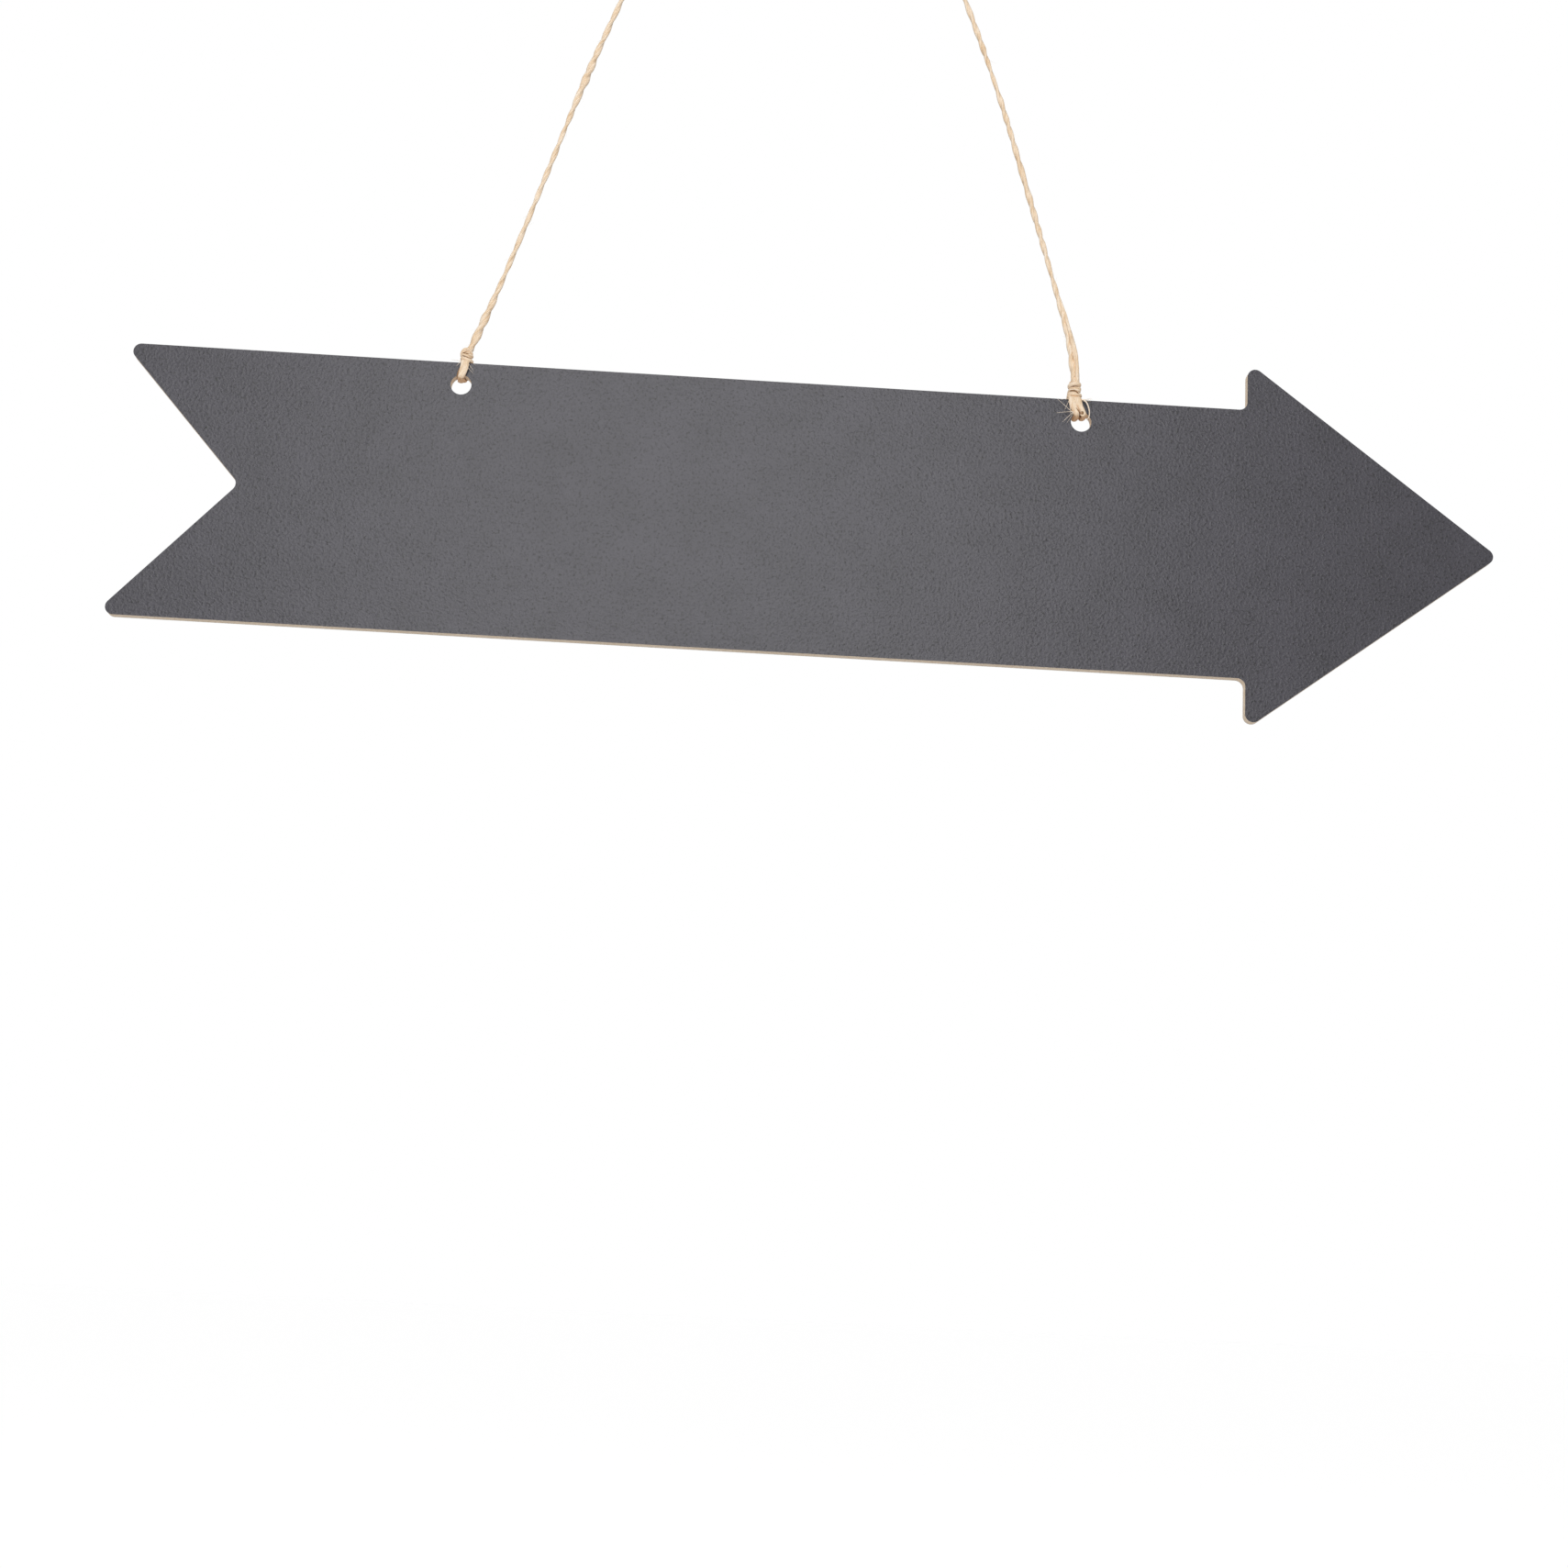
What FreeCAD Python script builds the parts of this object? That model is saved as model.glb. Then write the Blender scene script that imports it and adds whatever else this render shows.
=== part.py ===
"""Hanging arrow board: a thin cut panel on a loop of jute twine knotted through two holes.

Millimetres. X runs from the notched tail to the arrow tip, Y from the front face to the
back, Z up. The origin is where the loop bears on the peg or nail that holds it.
"""
import FreeCAD, Part
import math
import os
import Sketcher

V = FreeCAD.Vector

# Driving sizes: alias, value in millimetres or degrees, what it measures
SIZES = [
    ("board_length", 400.0, "from the sharp tail corners to the sharp arrow tip"),
    ("body_height", 81.0, "straight body, top edge to bottom edge"),
    ("head_height", 111.0, "across the two sharp barbs"),
    ("head_length", 73.6, "from the back of the barbs to the sharp tip"),
    ("notch_depth", 36.7, "how far the tail notch reaches in"),
    ("board_thickness", 3.0, "panel thickness"),
    ("outer_corner", 2.3, "radius of the tip, barbs and tail corners"),
    ("inner_corner", 2.4, "radius where each barb meets the body"),
    ("notch_corner", 2.5, "radius at the bottom of the tail notch"),
    ("hole_diameter", 6.0, "twine hole"),
    ("hole_drop", 6.7, "from the body's top edge down to a hole's centre"),
    ("tail_to_hole", 97.4, "from the sharp tail corners to the left hole"),
    ("hole_spacing", 180.2, "between the hole centres"),
    ("twine_diameter", 1.6, "mean thickness of the jute twine"),
    ("twine_gap", 0.1, "clearance between the twine and the board"),
    ("loop_rise", 190.5, "from the body's top edge up to the peg line"),
    ("peg_to_hole", 92.0, "from the left hole to the peg line, along X"),
    ("left_knot_girth", 4.2, "across the left knot's turns"),
    ("right_knot_girth", 5.2, "across the right knot's turns, which hold two strands"),
    ("wrap_pitch", 1.4, "from one turn of a knot to the next"),
    ("wrap_shoulder", 0.4, "how far a turn slopes in above and below its round"),
    ("neck_length", 0.2, "from the top turn to where the loop's strand starts"),
    ("strand_pitch", 1.7, "between the two strands that share the right hole"),
    ("bend_radius", 1.3, "where the hole strands turn in over the top edge"),
    ("edge_rise", 0.75, "how far above the top edge that turn starts"),
    ("free_end_length", 25.0, "twine end left lying along the right strand"),
]
LEFT_KNOT_TURNS = 2
RIGHT_KNOT_TURNS = 3

# The twine's route, chosen by hand. Left and right points count from their own hole's
# centre and the crown's from the peg line, so the strands follow the holes.
LEFT_STRAND = [
    (1.7, 0.0, 11.45),
    (6.8, 0.0, 25.3),
    (15.4, 0.6, 52.8),
    (31.8, 0.2, 107.9),
]
CROWN = [
    (-40.0, -0.5, -36.5),
    (-22.5, -0.2, -10.5),
    (-7.6, 0.0, 0.0),
    (7.4, 0.0, 0.0),
    (22.2, 0.2, -10.7),
    (39.2, 0.5, -36.6),
]
RIGHT_STRAND = [
    (-28.9, -0.1, 110.0),
    (-15.3, -0.6, 64.5),
    (-7.2, -0.3, 37.6),
    (-3.4, 0.0, 23.9),
    (-2.0, 0.0, 12.8),
]


def make_sheet(doc):
    """Write the driving sizes to a spreadsheet, each value under its own alias."""
    sheet = doc.addObject("Spreadsheet::Sheet", "sizes")
    for row, (alias, value, note) in enumerate(SIZES, start=1):
        sheet.set(f"A{row}", alias)
        sheet.set(f"B{row}", str(value))
        sheet.set(f"C{row}", note)
        sheet.setAlias(f"B{row}", alias)
    doc.recompute()
    return sheet


def origin_plane(body, role):
    """The body's own origin plane with that role."""
    return next(item for item in body.Origin.OriginFeatures if item.Role == role)


def front_sketch(body, name):
    """An empty sketch on the body's XZ plane: sketch x is X and sketch y is Z."""
    sketch = body.newObject("Sketcher::SketchObject", name)
    sketch.AttachmentSupport = [(origin_plane(body, "XZ_Plane"), "")]
    sketch.MapMode = "FlatFace"
    return sketch


def size_constraint(sketch, name, parts, value, expression):
    """A named distance in a sketch, bound to the spreadsheet."""
    index = sketch.addConstraint(Sketcher.Constraint(*parts, value))
    sketch.renameConstraint(index, name)
    sketch.setExpression(f"Constraints.{name}", expression)


def outline_sketch(body, sizes):
    """The arrow's outline with sharp corners, from the tail corner round to the notch."""
    half_body, half_head = sizes.body_height / 2, sizes.head_height / 2
    barb_x = sizes.board_length - sizes.head_length
    corners = [
        (0, half_body),
        (barb_x, half_body),
        (barb_x, half_head),
        (sizes.board_length, 0),
        (barb_x, -half_head),
        (barb_x, -half_body),
        (0, -half_body),
        (sizes.notch_depth, 0),
    ]
    sketch = front_sketch(body, "outline")
    count = len(corners)
    for index, (x, z) in enumerate(corners):
        after = corners[(index + 1) % count]
        sketch.addGeometry(Part.LineSegment(V(x, z, 0), V(after[0], after[1], 0)))
    constrain = sketch.addConstraint
    for index in range(count):
        constrain(Sketcher.Constraint("Coincident", index, 2, (index + 1) % count, 1))
    top, upper_back, upper_edge, lower_edge, lower_back, bottom, lower_tail, upper_tail = range(count)
    constrain(Sketcher.Constraint("Horizontal", top))
    constrain(Sketcher.Constraint("Vertical", upper_back))
    for upper, lower in ((top, lower_tail), (upper_back, bottom), (upper_edge, lower_back)):
        constrain(Sketcher.Constraint("Symmetric", upper, 1, lower, 1, -1))
    constrain(Sketcher.Constraint("PointOnObject", lower_edge, 1, -1))
    constrain(Sketcher.Constraint("PointOnObject", upper_tail, 1, -1))
    constrain(Sketcher.Constraint("PointOnObject", top, 1, -2))
    size_constraint(sketch, "body", ("DistanceY", lower_tail, 1, top, 1),
                    sizes.body_height, "sizes.body_height")
    size_constraint(sketch, "head", ("DistanceY", lower_back, 1, upper_edge, 1),
                    sizes.head_height, "sizes.head_height")
    size_constraint(sketch, "tip", ("DistanceX", upper_edge, 1, lower_edge, 1),
                    sizes.head_length, "sizes.head_length")
    size_constraint(sketch, "whole", ("DistanceX", top, 1, lower_edge, 1),
                    sizes.board_length, "sizes.board_length")
    size_constraint(sketch, "notch", ("DistanceX", top, 1, upper_tail, 1),
                    sizes.notch_depth, "sizes.notch_depth")
    return sketch


def hole_sketch(body, sizes):
    """The two twine holes, one drop below the top edge."""
    sketch = front_sketch(body, "holes")
    height = sizes.body_height / 2 - sizes.hole_drop
    places = (
        (sizes.tail_to_hole, "sizes.tail_to_hole"),
        (sizes.tail_to_hole + sizes.hole_spacing, "sizes.tail_to_hole + sizes.hole_spacing"),
    )
    for index, (x, expression) in enumerate(places):
        circle = Part.Circle(V(x, height, 0), V(0, 0, 1), sizes.hole_diameter / 2)
        sketch.addGeometry(circle)
        size_constraint(sketch, f"bore_{index}", ("Diameter", index),
                        sizes.hole_diameter, "sizes.hole_diameter")
        size_constraint(sketch, f"along_{index}", ("DistanceX", -1, 1, index, 3), x, expression)
        size_constraint(sketch, f"up_{index}", ("DistanceY", -1, 1, index, 3), height,
                        "sizes.body_height / 2 - sizes.hole_drop")
    return sketch


def corner_edges(shape, corners):
    """Names of the edges through the board's thickness at these outline corners."""
    names = []
    for index, edge in enumerate(shape.Edges, start=1):
        ends = [vertex.Point for vertex in edge.Vertexes]
        if len(ends) != 2 or abs(ends[0].y - ends[1].y) < abs(ends[0].x - ends[1].x) + 1e-6:
            continue
        if any(math.hypot(ends[0].x - x, ends[0].z - z) < 1e-3 for x, z in corners):
            names.append(f"Edge{index}")
    return names


def round_corners(doc, body, name, corners, alias):
    """Round the outline at these corners to the size under that alias."""
    base = body.Tip
    fillet = body.newObject("PartDesign::Fillet", name)
    fillet.Base = (base, corner_edges(base.Shape, corners))
    fillet.setExpression("Radius", f"sizes.{alias}")
    body.Tip = fillet
    doc.recompute()


def make_board(doc, sizes):
    """The panel: arrow outline padded to its thickness, corners rounded, holes cut through."""
    body = doc.addObject("PartDesign::Body", "board")
    body.Label = "board"
    outline = outline_sketch(body, sizes)
    pad = body.newObject("PartDesign::Pad", "panel")
    pad.Profile = outline
    pad.Midplane = True
    pad.setExpression("Length", "sizes.board_thickness")
    outline.Visibility = False
    doc.recompute()
    half_body, half_head = sizes.body_height / 2, sizes.head_height / 2
    barb_x = sizes.board_length - sizes.head_length
    outer = [(0, half_body), (0, -half_body), (barb_x, half_head), (barb_x, -half_head),
             (sizes.board_length, 0)]
    round_corners(doc, body, "outer_corners", outer, "outer_corner")
    round_corners(doc, body, "inner_corners",
                  [(barb_x, half_body), (barb_x, -half_body)], "inner_corner")
    round_corners(doc, body, "notch_corners", [(sizes.notch_depth, 0)], "notch_corner")
    holes = hole_sketch(body, sizes)
    pocket = body.newObject("PartDesign::Pocket", "twine_holes")
    pocket.Profile = holes
    pocket.Midplane = True
    pocket.setExpression("Length", "2 * sizes.board_thickness")
    body.Tip = pocket
    body.setExpression("Placement.Base.x", "-(sizes.tail_to_hole + sizes.peg_to_hole)")
    body.setExpression("Placement.Base.z", "-(sizes.loop_rise + sizes.body_height / 2)")
    doc.recompute()
    return body


def tangent_wire(points, radii):
    """Straight runs through the points, joined by an arc of its own radius at each corner."""
    edges, start = [], points[0]
    for before, corner, after, radius in zip(points, points[1:], points[2:], radii):
        back = (before - corner).normalize()
        ahead = (after - corner).normalize()
        half_turn = (math.pi - back.getAngle(ahead)) / 2
        inward = (back + ahead).normalize()
        reach = radius * math.tan(half_turn)
        middle = corner + inward * (radius / math.cos(half_turn) - radius)
        edges.append(Part.LineSegment(start, corner + back * reach).toShape())
        edges.append(Part.Arc(corner + back * reach, middle, corner + ahead * reach).toShape())
        start = corner + ahead * reach
    edges.append(Part.LineSegment(start, points[-1]).toShape())
    return Part.Wire(edges)


def widest_radii(points):
    """At each corner, the largest arc that its two runs leave room for."""
    share = 0.45
    radii = []
    for before, corner, after in zip(points, points[1:], points[2:]):
        shorter = min((before - corner).Length, (after - corner).Length)
        turn = math.pi - (before - corner).getAngle(after - corner)
        radii.append(share * shorter / math.tan(turn / 2))
    return radii


def tube(points, radii, diameter):
    """A round tube along the runs and arcs, with its volume checked against its length."""
    wire = tangent_wire(points, radii)
    section = Part.Wire(Part.Circle(points[0], points[1] - points[0], diameter / 2).toShape())
    solid = wire.makePipeShell([section], True, False)
    expected = wire.Length * math.pi * diameter**2 / 4
    if abs(solid.Volume / expected - 1) > 0.001:
        raise ValueError(f"tube volume {solid.Volume:.2f}, expected {expected:.2f}")
    return solid, wire.Length


def hole_centres(sizes):
    """Both hole centres in the part's frame, left then right."""
    height = -(sizes.loop_rise + sizes.hole_drop)
    left = V(-sizes.peg_to_hole, 0, height)
    return left, left + V(sizes.hole_spacing, 0, 0)


def twine_route(sizes):
    """The hand-chosen points, moved to their hole or to the twine's middle at the peg."""
    left, right = hole_centres(sizes)
    peg = V(0, 0, sizes.twine_diameter / 2)
    groups = ((LEFT_STRAND, left), (CROWN, peg), (RIGHT_STRAND, right))
    return [base + V(*point) for points, base in groups for point in points]


def make_twine(doc, sizes):
    """The loop between the two knots, one tube."""
    route = twine_route(sizes)
    radii = widest_radii(route)
    twine = doc.addObject("Part::Feature", "twine")
    twine.Label = "twine"
    twine.Shape, length = tube(route, radii, sizes.twine_diameter)
    print("twine length", round(length, 1), "radii", [round(radius, 1) for radius in radii])
    return twine


def hole_loop_points(sizes, across, drop, reach, inside):
    """One strand's path in its loop's frame: down the front, through the hole, up the back.

    The frame starts at the hole's centre and its z points at the knot. inside is how far
    the strand's end lies from the knot's axis.
    """
    out = sizes.board_thickness / 2 + sizes.twine_diameter / 2 + sizes.twine_gap
    turn_in = sizes.hole_drop + sizes.edge_rise
    front = [V(across / 2, -inside, reach), V(across, -out, turn_in), V(across, -out, drop)]
    back = [V(point.x, -point.y, point.z) for point in reversed(front)]
    return front + back


def round_piece(doc, kind, name, placement, depth, bound):
    """A Part primitive on the knot's axis, its base that deep under the top, bound to sizes."""
    piece = doc.addObject(kind, name)
    for size, expression in bound.items():
        piece.setExpression(size, expression)
    piece.Placement = placement.multiply(FreeCAD.Placement(V(0, 0, -depth), FreeCAD.Rotation()))
    return piece


def make_turn(doc, sizes, name, girth, placement, top):
    """One turn of twine pulled tight: a ring that slopes in above and below its round."""
    widest, narrowest = f"sizes.{girth} / 2", f"sizes.{girth} / 2 - sizes.wrap_shoulder"
    slope = "sizes.wrap_shoulder"
    bottom = top + sizes.wrap_pitch
    return [
        round_piece(doc, "Part::Cone", f"{name}_above", placement, top + sizes.wrap_shoulder,
                    {"Radius1": widest, "Radius2": narrowest, "Height": slope}),
        round_piece(doc, "Part::Cylinder", f"{name}_round", placement,
                    bottom - sizes.wrap_shoulder,
                    {"Radius": widest, "Height": f"sizes.wrap_pitch - 2 * {slope}"}),
        round_piece(doc, "Part::Cone", f"{name}_below", placement, bottom,
                    {"Radius1": narrowest, "Radius2": widest, "Height": slope}),
    ]


def make_knot(doc, sizes, name, turns, hole, top, along, strands, ends=()):
    """A knot on the board's top edge with its strands through one hole.

    top is where the loop's tube starts and along its direction there. The turns lie under
    it on the same axis. strands are the sideways places of the strands in the hole.
    """
    placement = FreeCAD.Placement(top, FreeCAD.Rotation(V(0, 0, 1), along))
    girth = f"{name}_girth"
    solids = []
    for turn in range(turns):
        solids += make_turn(doc, sizes, f"{name}_turn_{turn + 1}", girth, placement,
                            sizes.neck_length + turn * sizes.wrap_pitch)
    foot = sizes.neck_length + (turns - 0.5) * sizes.wrap_pitch
    core = round_piece(doc, "Part::Cylinder", f"{name}_core", placement, foot,
                       {"Radius": "sizes.twine_diameter / 2"})
    core.Height = foot
    solids.append(core)

    base = placement.multVec(V(0, 0, -foot))
    frame = FreeCAD.Placement(hole, FreeCAD.Rotation(V(0, 0, 1), base - hole))
    inside = (sizes.getPropertyByName(girth) - sizes.twine_diameter) / 2 - sizes.wrap_shoulder
    reach = (base - hole).Length
    snug = (sizes.hole_diameter - sizes.twine_diameter) / 2 - sizes.twine_gap
    corner = sizes.twine_diameter / 2 + sizes.twine_gap
    radii = [sizes.bend_radius, corner, corner, sizes.bend_radius]
    for index, across in enumerate(strands):
        drop = math.sqrt(snug**2 - across**2)
        path = hole_loop_points(sizes, across, drop, reach, inside)
        points = [frame.multVec(point) for point in path]
        strand = doc.addObject("Part::Feature", f"{name}_strand_{index + 1}")
        strand.Shape, _ = tube(points, radii, sizes.twine_diameter)
        solids.append(strand)
    solids.extend(ends)

    knot = doc.addObject("Part::MultiFuse", name)
    knot.Label = name
    knot.Shapes = solids
    doc.recompute()
    return knot


def make_free_end(doc, sizes, route):
    """The twine's end, laid beside the right strand from inside the knot upwards."""
    beside = V(-0.6, -0.8, 0) * (sizes.twine_diameter + 2 * sizes.twine_gap)
    strand = list(reversed(route[-4:]))
    into_knot = (strand[0] - strand[1]).normalize() * (sizes.neck_length + 2 * sizes.wrap_pitch)
    points = [strand[0] + into_knot + beside / 2, strand[0] + beside, strand[1] + beside]
    left = sizes.free_end_length - (strand[1] - strand[0]).Length
    for start, stop in zip(strand[1:], strand[2:]):
        run = stop - start
        points.append(start + beside + run * min(1.0, left / run.Length))
        left -= run.Length
        if left <= 0:
            break
    end = doc.addObject("Part::Feature", "free_end")
    end.Shape, _ = tube(points, widest_radii(points), sizes.twine_diameter)
    return end


def check(doc):
    """Stop if any object of the document failed."""
    for item in doc.Objects:
        if "Invalid" in item.State or "Error" in item.State:
            raise ValueError(f"{item.Name} failed: {item.State}")


def write(parts):
    """Write each sub-part to its own STEP file."""
    os.makedirs("parts", exist_ok=True)
    for part in parts:
        shape = part.Shape
        if shape.isNull() or not shape.isValid():
            raise ValueError(f"{part.Label} has no valid shape")
        shape.exportStep(f"parts/{part.Label}.step")
        print(part.Label, "volume", round(shape.Volume, 2), "solids", len(shape.Solids))


def main():
    """Build the sign and write its parts."""
    doc = FreeCAD.newDocument("arrow_sign")
    sizes = make_sheet(doc)
    board = make_board(doc, sizes)
    twine = make_twine(doc, sizes)
    route = twine_route(sizes)
    left_hole, right_hole = hole_centres(sizes)
    half_pitch = sizes.strand_pitch / 2
    left_knot = make_knot(doc, sizes, "left_knot", LEFT_KNOT_TURNS, left_hole, route[0],
                          route[1] - route[0], [0.0])
    right_knot = make_knot(doc, sizes, "right_knot", RIGHT_KNOT_TURNS, right_hole, route[-1],
                           route[-2] - route[-1], [-half_pitch, half_pitch],
                           [make_free_end(doc, sizes, route)])
    doc.recompute()
    check(doc)
    write([board, twine, left_knot, right_knot])


main()
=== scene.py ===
"""Dresses the hanging arrow board: a chalkboard-coated panel on a loop of two-ply jute twine."""

import logging
import math
import random
from collections.abc import Callable
from dataclasses import dataclass, field
from enum import Enum

import bpy
from mathutils import Matrix, Vector, noise


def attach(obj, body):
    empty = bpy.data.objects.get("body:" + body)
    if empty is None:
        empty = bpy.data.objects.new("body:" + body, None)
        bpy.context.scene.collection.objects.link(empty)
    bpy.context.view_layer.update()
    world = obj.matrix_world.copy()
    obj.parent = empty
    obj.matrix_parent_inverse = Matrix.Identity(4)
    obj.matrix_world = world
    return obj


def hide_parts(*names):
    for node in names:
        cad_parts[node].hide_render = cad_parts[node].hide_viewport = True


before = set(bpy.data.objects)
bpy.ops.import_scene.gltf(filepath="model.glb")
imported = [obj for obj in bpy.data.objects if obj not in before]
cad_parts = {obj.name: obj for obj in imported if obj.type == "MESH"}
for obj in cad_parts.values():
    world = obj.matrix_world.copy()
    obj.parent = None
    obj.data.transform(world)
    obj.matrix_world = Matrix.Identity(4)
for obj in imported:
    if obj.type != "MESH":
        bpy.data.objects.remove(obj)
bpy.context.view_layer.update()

MM = 0.001
ROOT = "root"
PHOTO_PIXELS = 1709
log = logging.getLogger("arrow_board")


# Places and routes

class Side(Enum):
    """The two holes, each with its centre in the part's frame in millimetres."""

    LEFT = (-92.0, 0.0, -197.2)
    RIGHT = (88.2, 0.0, -197.2)

    def place(self, points: list[tuple[float, float, float]]) -> list[Vector]:
        """Moves points from the hole's own millimetres to the part's frame.

        Args:
            points: places measured from the hole's centre, in millimetres.

        Returns:
            The same places in metres in the part's frame.
        """
        return [(Vector(self.value) + Vector(point)) * MM for point in points]


@dataclass(frozen=True)
class LoopRoute:
    """The loop's route between its knots, the same points that the solid tube follows."""

    left_strand: tuple = (
        (1.7, 0.0, 11.45), (6.8, 0.0, 25.3), (15.4, 0.6, 52.8), (31.8, 0.2, 107.9),
    )
    crown: tuple = (
        (-40.0, -0.5, -36.5), (-22.5, -0.2, -10.5), (-7.6, 0.0, 0.0), (7.4, 0.0, 0.0),
        (22.2, 0.2, -10.7), (39.2, 0.5, -36.6),
    )
    right_strand: tuple = (
        (-28.9, -0.1, 110.0), (-15.3, -0.6, 64.5), (-7.2, -0.3, 37.6), (-3.4, 0.0, 23.9),
        (-2.0, 0.0, 12.8),
    )
    crown_middle: tuple = (0.0, 0.0, 0.8)

    def points(self) -> list[Vector]:
        """All control points in order from the left knot, in metres in the part's frame."""
        crown = [(Vector(self.crown_middle) + Vector(point)) * MM for point in self.crown]
        return Side.LEFT.place(self.left_strand) + crown + Side.RIGHT.place(self.right_strand)


# Shader helpers

def hex_colour(text: str) -> tuple[float, float, float, float]:
    """Turns an sRGB hex colour to linear.

    Args:
        text: six hex digits after a hash.

    Returns:
        Linear red, green, blue and an alpha of 1.
    """
    channels = [int(text[start:start + 2], 16) / 255 for start in (1, 3, 5)]
    linear = [c / 12.92 if c <= 0.04045 else ((c + 0.055) / 1.055) ** 2.4 for c in channels]
    return (*linear, 1.0)


def add_node(tree: bpy.types.NodeTree, kind: str, settings: dict | None = None,
             inputs: dict | None = None) -> bpy.types.Node:
    """Adds a shader node with its settings and links.

    Args:
        tree: the node tree it goes in.
        kind: the node's type name.
        settings: attribute names and their values.
        inputs: socket names or numbers, each with a value or the socket that feeds it.

    Returns:
        The new node.
    """
    node = tree.nodes.new(kind)
    for name, value in (settings or {}).items():
        setattr(node, name, value)
    for name, value in (inputs or {}).items():
        if isinstance(value, bpy.types.NodeSocket):
            tree.links.new(value, node.inputs[name])
        else:
            node.inputs[name].default_value = value
    return node


def new_material(name: str) -> tuple[bpy.types.Material, bpy.types.NodeTree]:
    """Makes an empty node material.

    Args:
        name: the finish's own name.

    Returns:
        The material and its cleared node tree.
    """
    material = bpy.data.materials.new(name)
    material.use_nodes = True
    material.node_tree.nodes.clear()
    return material, material.node_tree


def waves_per_metre(spacing_mm: float) -> float:
    """The texture scale whose features lie that many millimetres apart."""
    return 1.0 / (spacing_mm * MM)


# Finishes

@dataclass(frozen=True)
class ChalkboardPanel:
    """Matt black chalkboard coat on both faces of raw fibreboard.

    The coat is sprayed and left with a fine orange peel, so the face reads as a soft dark
    grey with a tight grain. The cut edges are bare board: pale tan with brown fibre. Peel
    and specks are drawn 0.8 mm apart, coarser than a sprayed coat's, so that they show.
    Pairs are the two ends of a range.
    """

    coat: str = "#403e45"
    coat_speck: str = "#19181b"
    board_pale: str = "#f8e8d4"
    board_brown: str = "#d8ba97"
    half_thickness_mm: float = 1.5
    coat_wrap_mm: float = 0.09
    wrap_shares: tuple[float, float] = (0.3, 2.0)
    ragged_spacing_mm: float = 1.6
    ragged_noise: tuple[float, float] = (0.3, 0.7)
    peel_spacing_mm: float = 0.8
    peel_depth_mm: float = 0.13
    speck_spacing_mm: float = 0.8
    speck_noise: tuple[float, float] = (0.52, 0.74)
    blotch_spacing_mm: float = 14.0
    blotch_noise: tuple[float, float] = (0.35, 0.65)
    blotch_share: float = 0.22
    fibre_spacing_mm: float = 0.7
    fibre_noise: tuple[float, float] = (0.35, 0.75)
    fibre_share: float = 0.8
    bare_roughness: float = 0.85
    coat_roughness: float = 0.36
    coat_ior: float = 1.42

    def coat_mask(self, tree: bpy.types.NodeTree,
                  place: bpy.types.NodeSocket) -> bpy.types.NodeSocket:
        """1 on the coated faces and 0 on the bare edges, with a slightly ragged line.

        Args:
            tree: the material's node tree.
            place: object coordinates.

        Returns:
            The mask's socket.
        """
        ragged = add_node(tree, "ShaderNodeTexNoise", {"noise_dimensions": "3D"},
                          {"Vector": place, "Scale": waves_per_metre(self.ragged_spacing_mm),
                           "Detail": 2.0})
        depth = add_node(tree, "ShaderNodeSeparateXYZ", inputs={"Vector": place})
        away = add_node(tree, "ShaderNodeMath", {"operation": "ABSOLUTE"},
                        {0: depth.outputs["Y"]})
        limit = self.half_thickness_mm * MM
        least, most = self.wrap_shares
        line = add_node(tree, "ShaderNodeMapRange", {"clamp": True},
                        {"Value": ragged.outputs["Fac"], "From Min": self.ragged_noise[0],
                         "From Max": self.ragged_noise[1],
                         "To Min": limit - most * self.coat_wrap_mm * MM,
                         "To Max": limit - least * self.coat_wrap_mm * MM})
        mask = add_node(tree, "ShaderNodeMath", {"operation": "GREATER_THAN"},
                        {0: away.outputs[0], 1: line.outputs["Result"]})
        return mask.outputs[0]

    def material(self) -> bpy.types.Material:
        """Builds the finish.

        Returns:
            The material for the board.
        """
        material, tree = new_material("chalkboard_coat_on_fibreboard")
        place = add_node(tree, "ShaderNodeTexCoord").outputs["Object"]
        mask = self.coat_mask(tree, place)

        speck = add_node(tree, "ShaderNodeTexNoise", {},
                         {"Vector": place, "Scale": waves_per_metre(self.speck_spacing_mm),
                          "Detail": 2.0, "Roughness": 0.6})
        blotch = add_node(tree, "ShaderNodeTexNoise", {},
                          {"Vector": place, "Scale": waves_per_metre(self.blotch_spacing_mm),
                           "Detail": 3.0, "Roughness": 0.55})
        dark = add_node(tree, "ShaderNodeMapRange", {"clamp": True},
                        {"Value": speck.outputs["Fac"], "From Min": self.speck_noise[0],
                         "From Max": self.speck_noise[1], "To Min": 0.0, "To Max": 1.0})
        cloudy = add_node(tree, "ShaderNodeMapRange", {"clamp": True},
                          {"Value": blotch.outputs["Fac"], "From Min": self.blotch_noise[0],
                           "From Max": self.blotch_noise[1], "To Min": 0.0,
                           "To Max": self.blotch_share})
        shade = add_node(tree, "ShaderNodeMath", {"operation": "ADD", "use_clamp": True},
                         {0: dark.outputs["Result"], 1: cloudy.outputs["Result"]})
        coat = add_node(tree, "ShaderNodeMix", {"data_type": "RGBA"},
                        {0: shade.outputs[0], 6: hex_colour(self.coat),
                         7: hex_colour(self.coat_speck)})

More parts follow.
